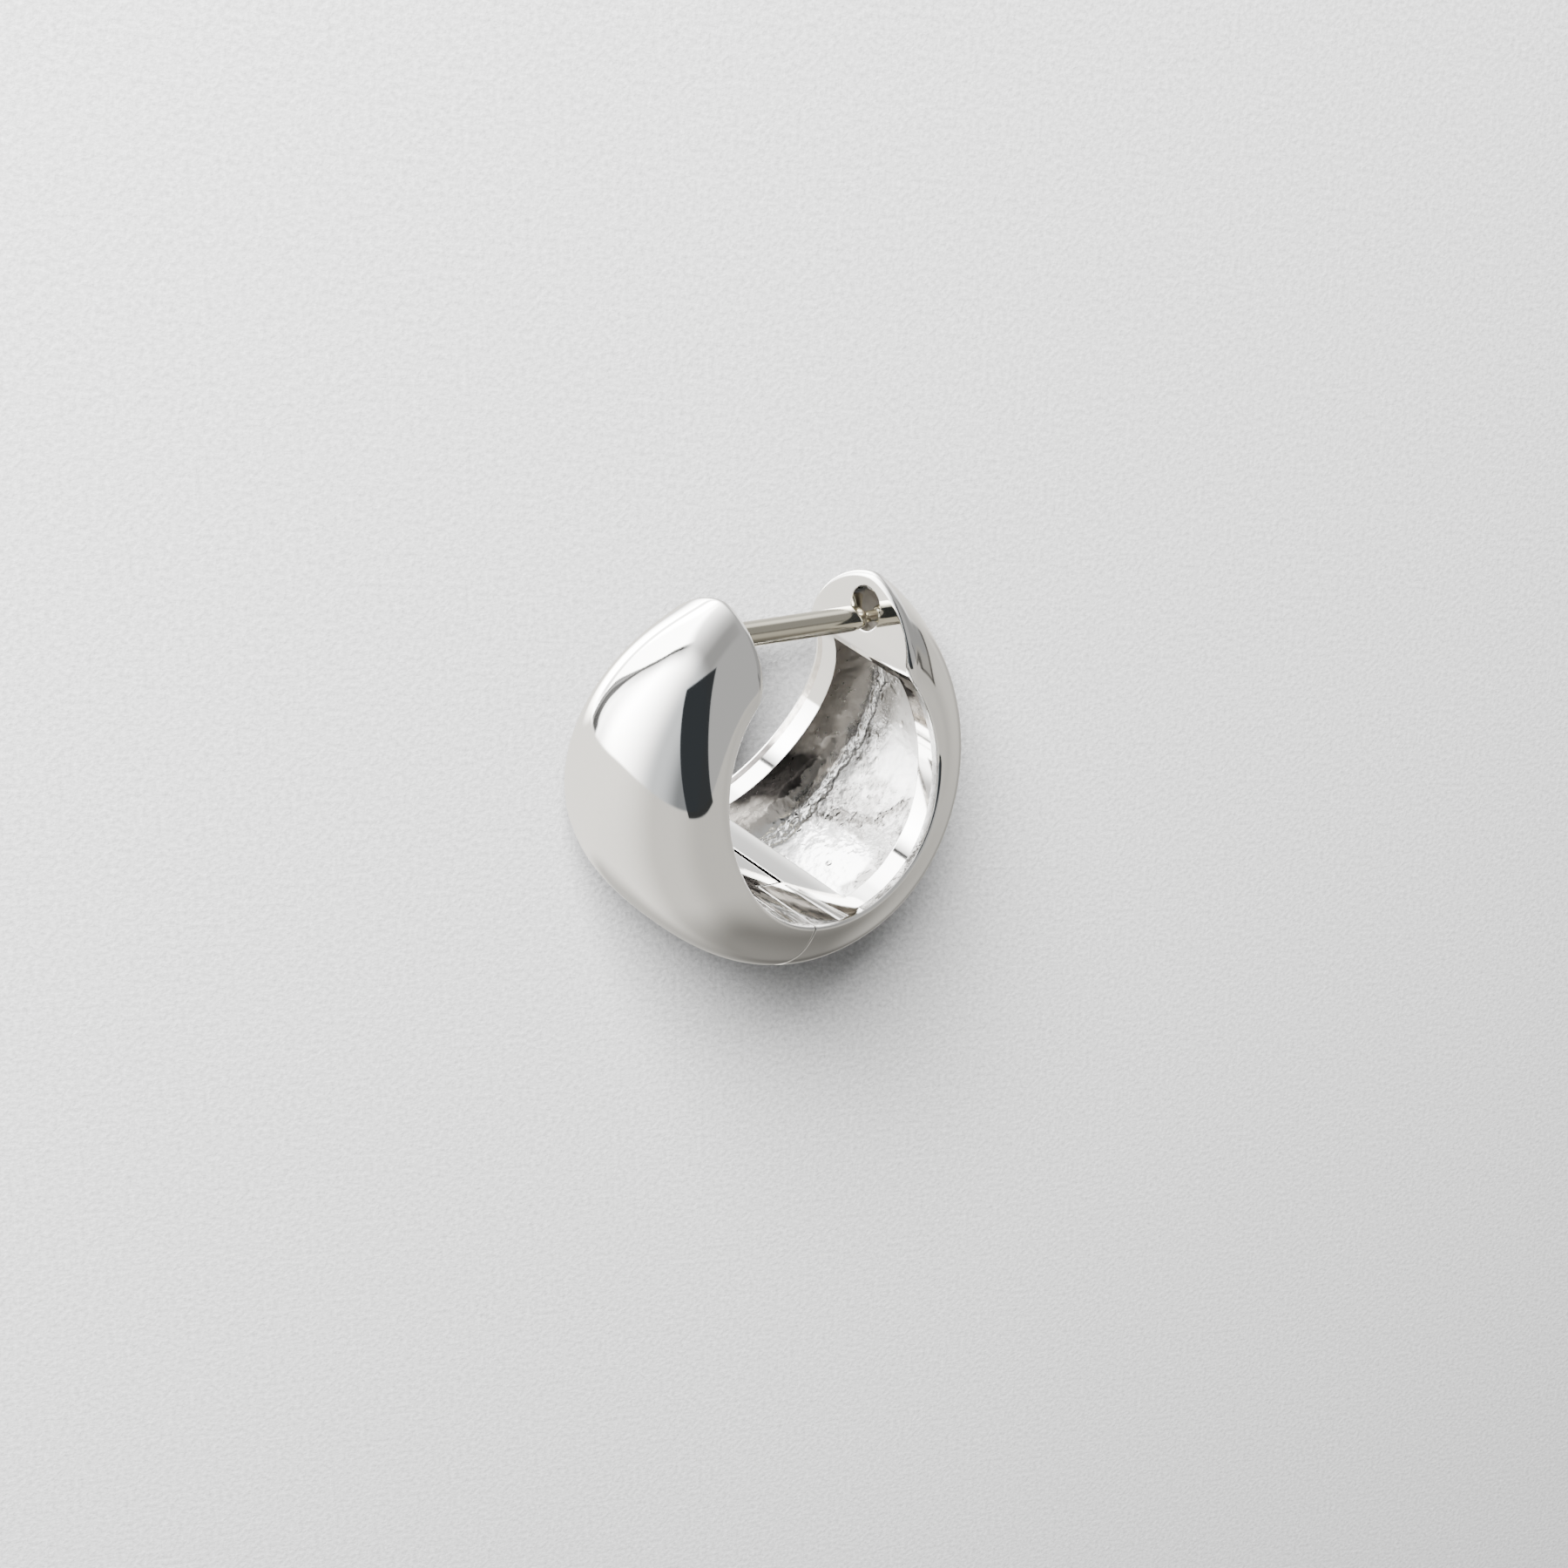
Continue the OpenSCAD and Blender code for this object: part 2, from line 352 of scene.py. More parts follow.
# The seam, the knuckles and the slot are cut with flat outlines drawn along the hinge pin. The relief wedge
# outside the hinge gives each half the room to turn through half of the opening. MIDDLE and SIDE are half
# the lengths of the middle knuckle and of all three together.
SEAM_GAP = 0.03
SEAM_FOOT_X = -0.60
OPENING = 45
RELIEF = OPENING / 2 + 1.5
SEAM_A = math.degrees(math.atan2(-PIN[1] - HOOP_R, SEAM_FOOT_X - PIN[0]))
RELIEF_A = 180 + math.degrees(math.atan2(-PIN[1], -PIN[0]))
KNUCKLE_R = 0.72
BORE_R = 0.33
BORE_HALF = 2.33
MIDDLE = 1.42
SIDE = 2.3
KNUCKLE_PLAY = 0.06
TURNING_PLAY = 0.08
TONGUE_PLAY = 0.17
TONGUE_CORNER = (0.40, -5.65)
TONGUE_RISE = 5.0
OVERLAP = 0.01
FAR = 20
PAST = 1
WEDGE_STEPS = 13


def prism(outline, low, high):
    n = len(outline)
    verts = [(x, y, low) for x, y in outline] + [(x, y, high) for x, y in outline]
    faces = [tuple(range(n - 1, -1, -1)), tuple(range(n, 2 * n))]
    faces += [(k, (k + 1) % n, n + (k + 1) % n, n + k) for k in range(n)]
    return new_piece("cutter", verts, faces)


def round_outline(radius, steps=96):
    return [(PIN[0] + radius * math.cos(2 * math.pi * k / steps),
             PIN[1] + radius * math.sin(2 * math.pi * k / steps)) for k in range(steps)]


def wedge_outline(start, end, side):
    across_seam = math.radians(SEAM_A - 90)
    tip_x = PIN[0] + side * SEAM_GAP * math.cos(across_seam)
    tip_y = PIN[1] + side * SEAM_GAP * math.sin(across_seam)
    angles = np.radians(np.linspace(start, end, WEDGE_STEPS))
    return [(tip_x, tip_y)] + [(tip_x + FAR * math.cos(a), tip_y + FAR * math.sin(a)) for a in angles]


def tongue_outline(gap):
    r = KNUCKLE_R + gap
    corner = (TONGUE_CORNER[0] + gap - PIN[0], TONGUE_CORNER[1] - gap - PIN[1])
    touch = math.atan2(corner[1], corner[0]) - math.acos(r / math.hypot(*corner))
    points = [(0, 0), (r * math.cos(touch), r * math.sin(touch)), corner,
              (corner[0], TONGUE_RISE), (-PIN[0], TONGUE_RISE)]
    return [(PIN[0] + x, PIN[1] + y) for x, y in points]


FRONT_SIDE = wedge_outline(SEAM_A, RELIEF_A + RELIEF, 1)
BACK_SIDE = wedge_outline(RELIEF_A - RELIEF - 360, SEAM_A, -1)


def carve(obj, *cutters):
    for c in cutters:
        cut = obj.modifiers.new("cut", "BOOLEAN")
        cut.operation = "DIFFERENCE"
        cut.object = c
        cut.solver = "MANIFOLD"
    settle(obj)
    for c in cutters:
        bpy.data.objects.remove(c)
    return obj


def lathe(name, profile, steps=96):
    """A profile of (distance along, radius) turned about the x axis, closed at both ends."""
    verts, faces = [], []
    for x, r in profile:
        for k in range(steps):
            t = 2 * math.pi * k / steps
            verts.append((x, r * math.cos(t), r * math.sin(t)))
    for i in range(len(profile) - 1):
        for k in range(steps):
            m = (k + 1) % steps
            faces.append((i * steps + k, i * steps + m, (i + 1) * steps + m, (i + 1) * steps + k))
    faces.append(tuple(range(steps - 1, -1, -1)))
    faces.append(tuple(range((len(profile) - 1) * steps, len(profile) * steps)))
    return new_piece(name, verts, faces)


def moved(obj, matrix):
    obj.data.transform(matrix)
    return obj


def outward(obj):
    """Faces turned outwards on a closed piece."""
    b = bmesh.new()
    b.from_mesh(obj.data)
    bmesh.ops.recalc_face_normals(b, faces=b.faces)
    b.to_mesh(obj.data)
    b.free()


def lay_down(obj):
    """The piece moved to where the hoop lies, smooth but for its edges."""
    obj.data.transform(HOOP_TO_ROW)
    obj.data.shade_smooth()
    obj.data.set_sharp_from_angle(angle=SHARP_A)


def shader_of(material):
    return material.node_tree.nodes["Principled BSDF"]


def bump(tree, height, strength, distance):
    node = tree.nodes.new("ShaderNodeBump")
    node.inputs["Strength"].default_value = strength
    node.inputs["Distance"].default_value = distance
    plug(tree, height, node.inputs["Height"])
    return node


# Polished metal is a mirror with the faint haze and fine wipe marks of hand polishing, on softened edges
def wear_group():
    tree = bpy.data.node_groups.new("polish marks", "ShaderNodeTree")
    for name in ("Scale", "Depth", "Haze"):
        add_input(tree, name, None)
    for name in ("Roughness", "Height"):
        tree.interface.new_socket(name, in_out="OUTPUT", socket_type="NodeSocketFloat")
    given, out = tree.nodes.new("NodeGroupInput"), tree.nodes.new("NodeGroupOutput")
    where = tree.nodes.new("ShaderNodeTexCoord").outputs["Object"]
    wiping = tree.nodes.new("ShaderNodeMapping")
    wiping.inputs["Scale"].default_value = (1.0, 0.12, 1.0)
    wiping.inputs["Rotation"].default_value = (0.4, 0.2, 0.9)
    tree.links.new(where, wiping.inputs["Vector"])
    haze = noise(tree, where, Number(tree, given.outputs["Scale"]), 4) * Number(tree, given.outputs["Haze"])
    wipes = noise(tree, wiping.outputs[0], 9000, 3) * Number(tree, given.outputs["Depth"])
    plug(tree, haze, out.inputs["Roughness"])
    plug(tree, wipes, out.inputs["Height"])
    return tree


def polished_metal(name, colour, roughness, haze, scale=420):
    material = bpy.data.materials.new(name)
    material.use_nodes = True
    t = material.node_tree
    shader = shader_of(material)
    shader.inputs["Metallic"].default_value = 1.0
    shader.inputs["Base Color"].default_value = (*colour, 1)
    marks = t.nodes.new("ShaderNodeGroup")
    marks.node_tree = POLISH
    marks.inputs["Scale"].default_value = scale
    marks.inputs["Depth"].default_value = 1.0
    marks.inputs["Haze"].default_value = haze
    plug(t, Number(t, marks.outputs["Roughness"]) + roughness, shader.inputs["Roughness"])
    worn_edge = t.nodes.new("ShaderNodeBevel")
    worn_edge.samples = 4
    worn_edge.inputs["Radius"].default_value = 0.06 * MM
    wiped = bump(t, Number(t, marks.outputs["Height"]), 0.05, 0.002 * MM)
    t.links.new(worn_edge.outputs[0], wiped.inputs["Normal"])
    t.links.new(wiped.outputs[0], shader.inputs["Normal"])
    return material


def dot(tree, where, direction):
    node = tree.nodes.new("ShaderNodeVectorMath")
    node.operation = "DOT_PRODUCT"
    tree.links.new(where, node.inputs[0])
    node.inputs[1].default_value = direction
    return Number(tree, node.outputs["Value"])


def mixed(tree, share, below, above):
    """One colour over another, by a mask."""
    mix = tree.nodes.new("ShaderNodeMix")
    mix.data_type = "RGBA"
    plug(tree, share, mix.inputs[0])
    if isinstance(below, tuple):
        mix.inputs[6].default_value = (*below, 1)
    else:
        tree.links.new(below, mix.inputs[6])
    mix.inputs[7].default_value = (*above, 1)
    return mix.outputs[2]


# Inside the pocket the silver is left as it came from the mould: lumpy, with small pits and a dark bloom.
# It is crumpled along a valley and along the foot of its far wall, and plain at the top. A painted highlight
# makes it bright low down and glint along the crumpled foot, and a painted dark reflection lies beside the
# flange.
POCKET_HALF = 2.55
POCKET_TAPER = 0.187
CAST_BUMP = 0.11 * MM
GREY_CAST, BLOOM = (0.44, 0.435, 0.43), (0.15, 0.144, 0.137)
# The first of these three colours is a painted highlight, laid where the pocket would mirror the softbox and
# in glints; the other two are the far wall's and the top's own tones
PAINTED_HIGHLIGHT_COLOUR, WALL_CAST, PLAIN_CAST = (0.93, 0.93, 0.93), (0.80, 0.75, 0.69), (0.78, 0.74, 0.68)
# A painted dark reflection, laid along the top of the far wall beside the flange
PAINTED_DARK_REFLECTION_COLOUR = (0.05, 0.045, 0.045)


def cast_metal(name):
    material = bpy.data.materials.new(name)
    material.use_nodes = True
    t = material.node_tree
    shader = shader_of(material)
    shader.inputs["Metallic"].default_value = 1.0
    where = t.nodes.new("ShaderNodeTexCoord").outputs["Object"]

    # The place up the hoop in millimetres, and across the pocket from -1 at its far wall to 1 at its near one
    along_y = Vector((0, math.cos(HOOP_LEAN), -math.sin(HOOP_LEAN)))
    along_z = Vector((0, math.sin(HOOP_LEAN), math.cos(HOOP_LEAN)))
    up = dot(t, where, along_y / MM) - along_y.dot(HOOP_MIDDLE)
    across = (dot(t, where, along_z / MM) - along_z.dot(HOOP_MIDDLE)) / (POCKET_HALF - POCKET_TAPER * up)

    # Where each kind of surface lies: the far wall, the plain top, the lower part that gets a painted
    # highlight, the smoother part by the near wall, the churned skin, the crumpled foot of the far wall, the
    # valley and the corner that gets a painted dark reflection
    wobble = noise(t, where, 1300, 2) - 0.5
    stain = noise(t, where, 1000, 5, 0.62)
    far = (across - wobble * 0.30).fall(-0.78, 0.09)
    top = up.rise(2.3, 0.9)
    well_lit = (up - wobble * 1.6).fall(-4.25, 0.5) * (1 - (across + wobble * 0.5).rise(0.30, 0.16))
    calm = up.rise(-2.6, 0.8) * across.rise(-0.45, 0.3)
    churned = stain.rise(0.42, 0.16) * (1 - well_lit * 0.8) * (1 - far) * (1 - 0.85 * calm)
    ridge = (across + wobble * 0.22 + 0.70).absolute().fall(0.08, 0.048)
    valley = up + 3.75 - 1.2 * across - 2.2 * (across - 0.1).at_least(0.0) + wobble * 1.5
    valley = (1.25 - valley.absolute() / 0.24).blend() * (1 - far) * across.fall(0.62, 0.2)
    # A painted dark reflection along the top of the far wall, beside the flange
    painted_dark_reflection = (across - wobble * 0.12 - (stain - 0.5) * 0.35).fall(-0.94, 0.03)
    painted_dark_reflection = painted_dark_reflection * (1 - ((up + 3.3).absolute() + wobble).rise(0.75, 0.5))

    # Its relief
    lumps, peel = noise(t, where, 2100, 1.0, 0.3), noise(t, where, 4600, 1.6, 0.4)
    pits = t.nodes.new("ShaderNodeTexVoronoi")
    pits.inputs["Scale"].default_value = 620
    t.links.new(where, pits.inputs["Vector"])
    pit = Number(t, pits.outputs["Distance"]).fall(0.10, 0.08)
    height = lumps * (0.30 + 0.30 * far) + peel * (0.16 + 0.20 * churned + 0.25 * valley + 0.45 * ridge)
    height = (height - pit * (0.25 - 0.2 * far)) * (1 - 0.92 * top) * (1 - 0.65 * calm)
    t.links.new(bump(t, height, 1.0, CAST_BUMP).outputs[0], shader.inputs["Normal"])
    rough = 0.13 + peel * 0.14 - 0.05 * well_lit + 0.10 * far.at_least(2 * top).at_least(calm)
    plug(t, rough, shader.inputs["Roughness"])

    # Its colour, one layer over another: grey and dark mottles, a painted highlight, the far wall's tone, a
    # painted dark reflection and the plain top
    # A painted highlight: brightest low down where the pocket would mirror the softbox, in glints along the
    # crumpled foot of the far wall, and fainter on the smoother part by the near wall
    painted_highlight = (well_lit * (1 - 0.8 * valley)).at_least(ridge * 0.8).at_least(calm * 0.4)
    tone_with_painted_light = mixed(t, (churned * 0.6 + valley * 0.6).at_most(1.0), GREY_CAST, BLOOM)
    tone_with_painted_light = mixed(t, painted_highlight, tone_with_painted_light, PAINTED_HIGHLIGHT_COLOUR)
    tone_with_painted_light = mixed(t, far * 0.9 + pit * (1 - far) * 0.4, tone_with_painted_light, WALL_CAST)
    tone_with_painted_light = mixed(t, painted_dark_reflection * 0.92, tone_with_painted_light, PAINTED_DARK_REFLECTION_COLOUR)
    t.links.new(mixed(t, top, tone_with_painted_light, PLAIN_CAST), shader.inputs["Base Color"])
    return material


POLISH = wear_group()
SILVER = polished_metal("polished silver", (0.955, 0.948, 0.930), roughness=0.02, haze=0.05)
CAST = cast_metal("silver as cast")
RULE = hoop_rule()

BACK_START = math.radians(-20)
back = half_shell("back shell", BACK_START, TIP_HEIGHT, RULE, SILVER, CAST)
outward(back)
gap_mid = MIDDLE + KNUCKLE_PLAY
side_cutters = []
for low, high in ((gap_mid - OVERLAP, SIDE), (-SIDE, -gap_mid + OVERLAP)):
    knuckle = prism(round_outline(KNUCKLE_R), low - PAST, high + PAST)
    side_cutters.append(carve(prism(FRONT_SIDE, low, high), knuckle))

# A tapered groove runs out from each end of the hinge, on the inner face
GROOVE_START, GROOVE_RUN = (0.50, -4.73, 1.70), (0.30, 0.05, 2.82)
GROOVE_NARROW, GROOVE_WIDE, GROOVE_SIDES = 0.03, 0.22, 48
grooves = []
for side in (1, -1):
    run = Vector((GROOVE_RUN[0], GROOVE_RUN[1], GROOVE_RUN[2] * side))
    groove = lathe("cutter", [(0, GROOVE_NARROW), (run.length, GROOVE_WIDE)], GROOVE_SIDES)
    turn = Vector((1, 0, 0)).rotation_difference(run).to_matrix().to_4x4()
    start = Matrix.Translation((GROOVE_START[0], GROOVE_START[1], GROOVE_START[2] * side))
    grooves.append(moved(groove, start @ turn))

# The slot in the end plate is an upright oval that the post's neck stands in
SLOT_R, SLOT_TOP, SLOT_LOW, SLOT_DEPTH = 0.78, POST_Y + 0.38, POST_Y + 0.30, 1.6
SLOT_STEPS = 33
slot = []
for middle_y, start_a in ((SLOT_TOP, 0), (SLOT_LOW, math.pi)):
    for a in np.linspace(start_a, start_a + math.pi, SLOT_STEPS):
        slot.append((SLOT_R * math.cos(a), middle_y + SLOT_R * math.sin(a)))
through_plate = Matrix(((0, 0, 1, PLATE_X - PAST), (0, 1, 0, 0), (-1, 0, 0, 0), (0, 0, 0, 1)))
slot_cutter = moved(prism(slot, 0, SLOT_DEPTH), through_plate)
carve(back,
      prism(FRONT_SIDE, -gap_mid, gap_mid), prism(round_outline(KNUCKLE_R + TURNING_PLAY), -gap_mid, gap_mid),
      prism(tongue_outline(TONGUE_PLAY), -gap_mid, gap_mid), *side_cutters,
      prism(FRONT_SIDE, SIDE - OVERLAP, FAR), prism(FRONT_SIDE, -FAR, -SIDE + OVERLAP),
      prism(round_outline(BORE_R), -BORE_HALF, BORE_HALF), *grooves, slot_cutter)
lay_down(back)
back.name = "back_shell_polished"
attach(back, "back")
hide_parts("back_shell")

# Front shell. The front half is the same casting turned round: domed outside and hollow inside, with the
# middle knuckle and its tongue at the lower end and a plain end plate that the post is soldered to.
FRONT_START = math.radians(-12)
front = half_shell("front shell", FRONT_START, -TIP_HEIGHT, RULE, SILVER, CAST)
front.data.transform(Matrix.Scale(-1, 4, (1, 0, 0)))
outward(front)
past_middle = MIDDLE + PAST
middle_cutter = carve(prism(BACK_SIDE, -MIDDLE, MIDDLE),
                      prism(round_outline(KNUCKLE_R), -past_middle, past_middle),
                      prism(tongue_outline(0), -past_middle, past_middle))
side_cutters = []
for low, high in ((MIDDLE, SIDE + KNUCKLE_PLAY), (-SIDE - KNUCKLE_PLAY, -MIDDLE)):
    side_cutters += [prism(BACK_SIDE, low, high), prism(round_outline(KNUCKLE_R + TURNING_PLAY), low, high)]
side_end = SIDE + KNUCKLE_PLAY - OVERLAP
carve(front, middle_cutter, *side_cutters, prism(BACK_SIDE, side_end, FAR), prism(BACK_SIDE, -FAR, -side_end),
      prism(round_outline(BORE_R), -BORE_HALF, BORE_HALF))
lay_down(front)
front.name = "front_shell_polished"
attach(front, "front")
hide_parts("front_shell")

# Ear post. The post is a straight round rod of pale gold, turned down to a thin neck that drops through the
# slot and ends in a small round head. Its other end is soldered flat on the front shell's end plate.
POST_R, NECK_R, HEAD_R = 0.45, 0.20, 0.36
SHOULDER_X, SHOULDER_LONG = 2.62, 0.62
HEAD_X = PLATE_X + 0.85
HEAD_END_A = 0.04
SOLDER_GAP = 0.01
STEP_X = 0.02
POST_STEPS, SHOULDER_STEPS, HEAD_STEPS = 25, 16, 24
profile = [(x, POST_R) for x in np.linspace(-PLATE_X + SOLDER_GAP, SHOULDER_X - STEP_X, POST_STEPS)]
for turned in np.radians(np.linspace(0, 90, SHOULDER_STEPS)):
    profile.append((SHOULDER_X + SHOULDER_LONG * math.sin(turned),
                    POST_R - (POST_R - NECK_R) * (1 - math.cos(turned))))
profile.append((HEAD_X - math.sqrt(HEAD_R ** 2 - NECK_R ** 2) - STEP_X, NECK_R))
for turned in np.linspace(math.pi - math.asin(NECK_R / HEAD_R), HEAD_END_A, HEAD_STEPS):
    profile.append((HEAD_X + HEAD_R * math.cos(turned), HEAD_R * math.sin(turned)))
post = moved(lathe("ear_post_gold", profile), Matrix.Translation((0, POST_Y, 0)))
outward(post)
GOLD = polished_metal("pale gold", (0.74, 0.70, 0.58), roughness=0.07, haze=0.08, scale=900)
post.data.materials.append(GOLD)
lay_down(post)
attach(post, "front")
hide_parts("ear_post")

# Hinge pin. A plain silver wire runs through the three knuckles, and is filed flush and polished at both
# ends. It keeps its solid's own mesh.
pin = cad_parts["hinge_pin"]
pin.data.materials.clear()
PIN_SILVER = polished_metal("pin silver", (0.93, 0.92, 0.90), roughness=0.06, haze=0.08, scale=900)
pin.data.materials.append(PIN_SILVER)

# Floor. A sheet of pale cool paper lies under the earring. It has a fine tooth that is drawn out along one
# direction of the sheet.
PAPER_SHADE, PAPER_WHITE = (0.46, 0.46, 0.46), (1.0, 1.0, 1.0)
GRAIN_ACROSS, GRAIN_ALONG = (0.7606, 0.3272, 0), (0.1275, 0.7717, 0)
FLOOR_HALF = 1.5
paper = bpy.data.materials.new("pale paper")
paper.use_nodes = True
t = paper.node_tree
paper_shader = shader_of(paper)
paper_shader.inputs["Roughness"].default_value = 0.85
where = t.nodes.new("ShaderNodeTexCoord").outputs["Object"]
grain = at_xyz(t, dot(t, where, GRAIN_ACROSS), dot(t, where, GRAIN_ALONG))
tooth = noise(t, grain, 6000, 3, 0.6)
fleck = mixed(t, (tooth - 0.5) * 1.35 + 0.5, PAPER_SHADE, PAPER_WHITE)
t.links.new(fleck, paper_shader.inputs["Base Color"])
t.links.new(bump(t, tooth, 0.6, 0.06 * MM).outputs[0], paper_shader.inputs["Normal"])
corners = [(-FLOOR_HALF, -FLOOR_HALF, 0), (FLOOR_HALF, -FLOOR_HALF, 0),
           (FLOOR_HALF, FLOOR_HALF, 0), (-FLOOR_HALF, FLOOR_HALF, 0)]
floor = new_piece("floor", corners, [(0, 1, 2, 3)])
floor.data.materials.append(paper)
floor.visible_glossy = False

# Camera. It sees the hoop from the near side, above and to the front, and is rolled as the photograph's
# camera was. Its directions are given in the hoop's own frame.
CAMERA_RIGHT, CAMERA_TOWARD = (0.7606, 0.1807, 0.6236), (-0.6366, 0.3962, 0.6616)
CAMERA_FAR = 0.1916
hoop_turn = HOOP_TO_ROW.to_3x3().normalized()
right = (hoop_turn @ Vector(CAMERA_RIGHT)).normalized()
toward = (hoop_turn @ Vector(CAMERA_TOWARD)).normalized()
cam = bpy.data.cameras.new("camera")
cam.sensor_width = 36
cam.lens = 126.42
cam.shift_x = 0.0098
cam.shift_y = -0.0248
cam.clip_start = 0.01
cam.clip_end = 10
camera = bpy.data.objects.new("camera", cam)
bpy.context.scene.collection.objects.link(camera)
place = Matrix((right, toward.cross(right).normalized(), toward)).transposed().to_4x4()
place.translation = HOOP_TO_ROW @ Vector((0, 0, 0)) + toward * CAMERA_FAR
camera.matrix_world = place
bpy.context.scene.camera = camera

# Studio. Round the earring are a paper roll on one side, and on the other a softbox in a dark frame, a
# black flag and a grey wall. Only mirror images show them, as levels of light by direction. The camera and
# the floor see an even dim room.
room = bpy.data.worlds.new("studio")
room.use_nodes = True
t = room.node_tree
where = t.nodes.new("ShaderNodeTexCoord").outputs["Generated"]


def facing(direction):
    """How far a mirror ray points along the direction, from -1 to 1."""
    return dot(t, where, direction)


def beyond(value, edge, soft):
    """Rises across the edge, half of it on each side."""
    return ((value - edge) / soft + 0.5).blend()


def line(value, edge, half):
    return 1 - beyond((value - edge).absolute(), half, half * 0.8)


def darker(level, share, mask):
    return level * (1 - share * mask)


def turned_to(level, other, mask):
    return level + (other - level) * mask


height = facing((0, 0, 1))
down = height * -1
back_way = facing((1, 0, 0))
sideways = facing((0, 1, 0))

# The paper roll: brightest towards the table, faintly woven, and dim on the side away from the lamps
PAPER_LEVEL, PAPER_MORE_LOW, PAPER_MORE_BELOW = 0.72, 0.28, 0.95
LAMPLESS_WAY = (0.545, -0.755, 0.364)
WEAVE = 0.26
paper_level = PAPER_LEVEL + PAPER_MORE_LOW * height.fall(0.9, 0.7) + PAPER_MORE_BELOW * down.rise(0.08, 0.5)
paper_level = paper_level * (1 - WEAVE / 2 + WEAVE * noise(t, where, 110, 3))
dim_side = facing(LAMPLESS_WAY).rise(0.58, 0.32) * (1 - 0.6 * beyond(back_way, 0.72, 0.16))
paper_level = darker(darker(paper_level, 0.70, dim_side), 0.15, back_way.rise(0.4, 0.3))

# The softbox grows brighter towards its lower edge
BOX_LEVEL, BOX_MORE_LOW = 1, 15
box_level = BOX_LEVEL + BOX_MORE_LOW * ((down - 0.15) / 0.55).at_most(1.0).power(2.2)
box_level = darker(box_level, 0.72, height.rise(-0.12, 0.45))

# The wall is lit only near the table, with a paler patch at the back
WALL_LEVEL, WALL_MORE_LOW, WALL_PATCH = 0.5, 13, 1.3
wall_level = darker(WALL_MORE_LOW * ((down - 0.2) / 0.8).power(2.6), 0.87, back_way.rise(-0.02, 0.4))
wall_level = darker(WALL_LEVEL + wall_level, 0.25, line(height, -0.18, 0.12) * back_way.fall(-0.1, 0.2))
patch = back_way.rise(0.45, 0.2) * height.fall(0.05, 0.4) * down.fall(0.7, 0.25)
wall_level = wall_level + WALL_PATCH * patch

# The paper ends along one straight edge, and the softbox and the wall are beyond it
STUDIO_EDGE = (-0.23, 0.92, -0.34)
in_box = back_way.fall(-0.5, 0.2)
studio_side = beyond(facing(STUDIO_EDGE), -0.03, 0.03)
level = turned_to(paper_level, turned_to(wall_level, box_level, in_box), studio_side)

# The table straight below is the brightest, most of all at the front
TABLE_FRONT, TABLE_BACK = 19, 2.5
table_level = TABLE_FRONT - (TABLE_FRONT - TABLE_BACK) * back_way.rise(0.1, 0.3)
level = turned_to(level, table_level, down.rise(0.86, 0.10))

# The lower edge of the hoop mirrors its own shadow on the table
SHADOW_AHEAD, SHADOW_NEAR = (0.6366, -0.5455, -0.5452), (0.282, -0.493, 0.823)
shadow = beyond(facing(SHADOW_AHEAD), 0.84, 0.2) * beyond(facing(SHADOW_NEAR), 0.03, 0.06)
level = darker(level, 0.55, shadow)

# The softbox's frame is a dark bent line, soft on its inner side and bright beyond it
FRAME_LOW, FRAME_HIGH = (0.465, 0.291, 0.836), (-0.53, -0.422, 0.736)
FRAME_BRIGHT = 12
bent = beyond(sideways, -0.18, 0.14)
in_frame = (-0.978 - facing(FRAME_LOW)) * 4.8 * (1 - bent) + (facing(FRAME_HIGH) + 0.437) * 1.1 * bent
frame_reach = studio_side * (1 - beyond(sideways, 0.60, 0.16)) * (1 - beyond(back_way, -0.10, 0.10))
frame_reach = frame_reach * beyond(back_way + 0.5 * sideways.at_least(-0.25), -0.555, 0.05)
frame_half = 0.021 + 0.060 * (1 - sideways.rise(-0.34, 0.45))
level = turned_to(level, FRAME_BRIGHT, (1 - beyond(in_frame, -0.02, 0.03)) * frame_reach)
near_frame = in_frame.at_least(0.0).fall(0.18, 0.18) * beyond(in_frame, 0.0, 0.02)
level = darker(level, 0.72, near_frame * frame_reach)
level = darker(level, 0.95, (1 - beyond(in_frame.absolute(), frame_half, 0.012)) * frame_reach)

# A soft grey line on the table, which crosses the top of the front dome
TABLE_LINE = (0.876, -0.482, 0)
level = darker(level, 0.72, line(facing(TABLE_LINE), 0.01, 0.05) * down.rise(0.90, 0.05))

# A grey panel with a dark outline, which shows in the back half of the hoop
PANEL_LEVEL, PANEL_TOP = 0.34, 0.63
PANEL_EDGE = (0.65, -0.70, 0.29)
panel = back_way.rise(0.35, 0.15)
past_panel = facing(PANEL_EDGE)
panel_reach = panel * beyond(height, -0.14, 0.1) * (1 - beyond(height, PANEL_TOP + 0.01, 0.03))
in_panel = 1 - beyond(past_panel, 0.483, 0.012)
level = turned_to(level, PANEL_LEVEL, 0.8 * in_panel * panel_reach)
level = darker(level, 0.85, line(past_panel, 0.485, 0.008) * panel_reach)
level = darker(level, 0.6, line(height, PANEL_TOP, 0.035) * in_panel * panel)

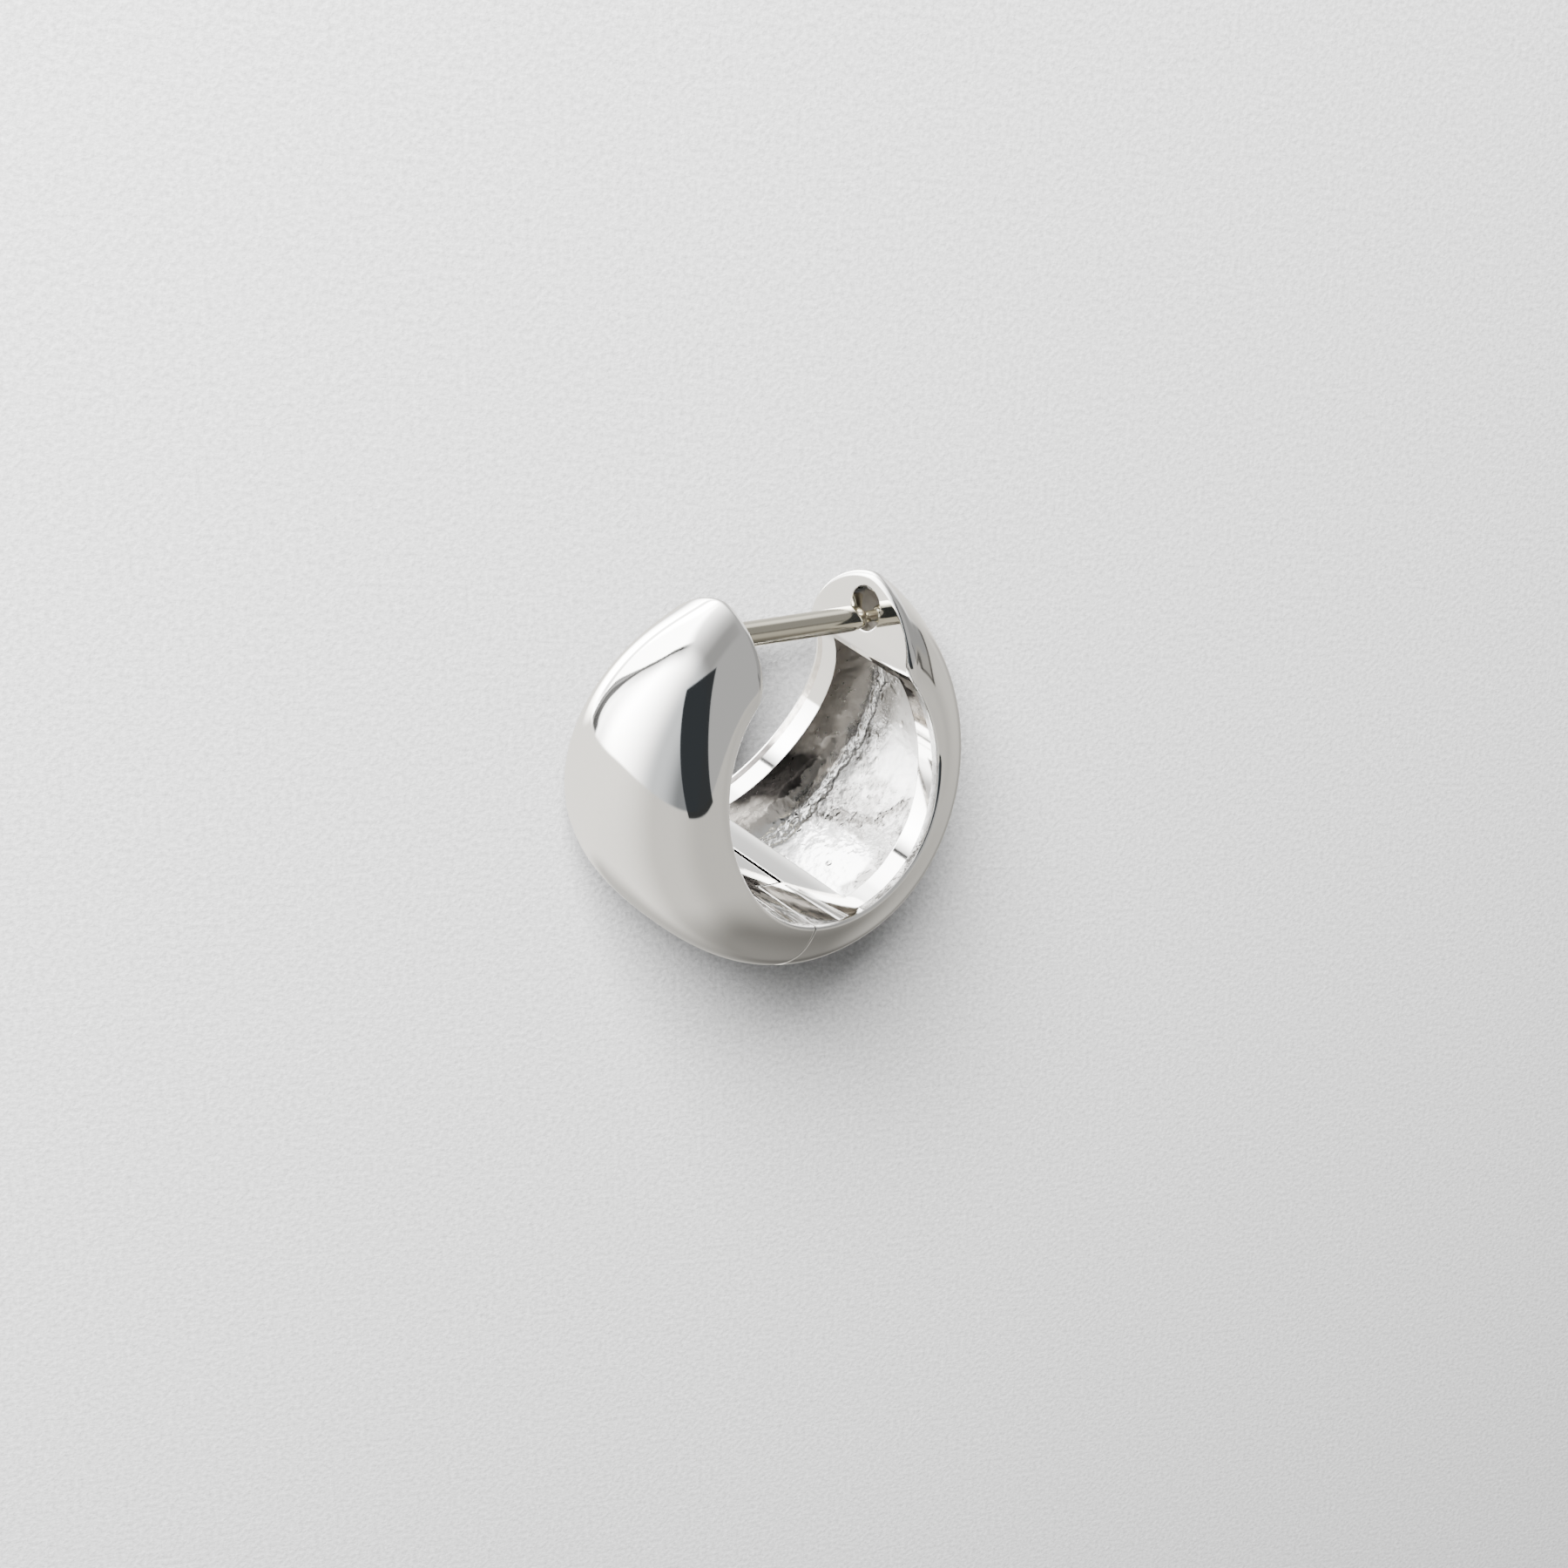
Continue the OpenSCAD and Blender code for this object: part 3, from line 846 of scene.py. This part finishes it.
# The black flag between the softbox and the wall lies beyond four straight edges: (direction, edge, softness)
FLAG_LEVEL = 0.042
FLAG_EDGES = (((-0.108, 0.783, 0.613), 0.395, 0.014), ((-0.26, -0.86, -0.445), -0.655, 0.014),
              ((-0.232, -0.424, 0.876), -0.295, 0.02), (STUDIO_EDGE, -0.09, 0.02))
flag = 1
for direction, edge, soft in FLAG_EDGES:
    flag = flag * beyond(facing(direction), edge, soft)
level = turned_to(level, FLAG_LEVEL, flag)

# The paper is a little warm, and the dim part of the softbox and the flag are cool
warm = 1 - studio_side
cool = level.fall(3.0, 3.0) * in_box * studio_side + flag * 1.6
colour = t.nodes.new("ShaderNodeCombineColor")
plug(t, level * (1 - 0.03 * cool), colour.inputs[0])
plug(t, level * (0.995 - 0.03 * warm + 0.02 * cool), colour.inputs[1])
plug(t, level * (0.98 - 0.09 * warm + 0.07 * cool), colour.inputs[2])
mirrored = t.nodes["Background"]
t.links.new(colour.outputs[0], mirrored.inputs["Color"])

# Mirror rays that haven't met the paper see the studio, and all others see the even room
EVEN_ROOM = (0.10, 0.10, 0.10)
even = t.nodes.new("ShaderNodeBackground")
even.inputs["Color"].default_value = (*EVEN_ROOM, 1)
rays = t.nodes.new("ShaderNodeLightPath")
after_paper = Number(t, rays.outputs["Diffuse Depth"]).at_most(1.0)
first_sight = Number(t, rays.outputs["Is Glossy Ray"]) * (1 - after_paper)
either = t.nodes.new("ShaderNodeMixShader")
plug(t, first_sight, either.inputs[0])
t.links.new(even.outputs[0], either.inputs[1])
t.links.new(mirrored.outputs[0], either.inputs[2])
t.links.new(either.outputs[0], t.nodes["World Output"].inputs["Surface"])
bpy.context.scene.world = room


# A softbox behind the camera and a weak one to its left give the floor its light and the earring its shadow
def softbox(name, direction, distance, size, watts):
    lamp = bpy.data.lights.new(name, "AREA")
    lamp.size = size
    lamp.energy = watts
    box = bpy.data.objects.new(name, lamp)
    bpy.context.scene.collection.objects.link(box)
    away = Vector(direction).normalized()
    turn = away.to_track_quat("Z", "Y").to_matrix().to_4x4()
    box.matrix_world = Matrix.Translation(away * distance) @ turn
    box.visible_glossy = False
    box.visible_camera = False


softbox("key softbox", (-0.63, 0.665, 0.375), distance=0.36, size=0.11, watts=10.6)
softbox("fill softbox", (-0.9, -0.5, 0.8), distance=0.5, size=0.30, watts=0.35)
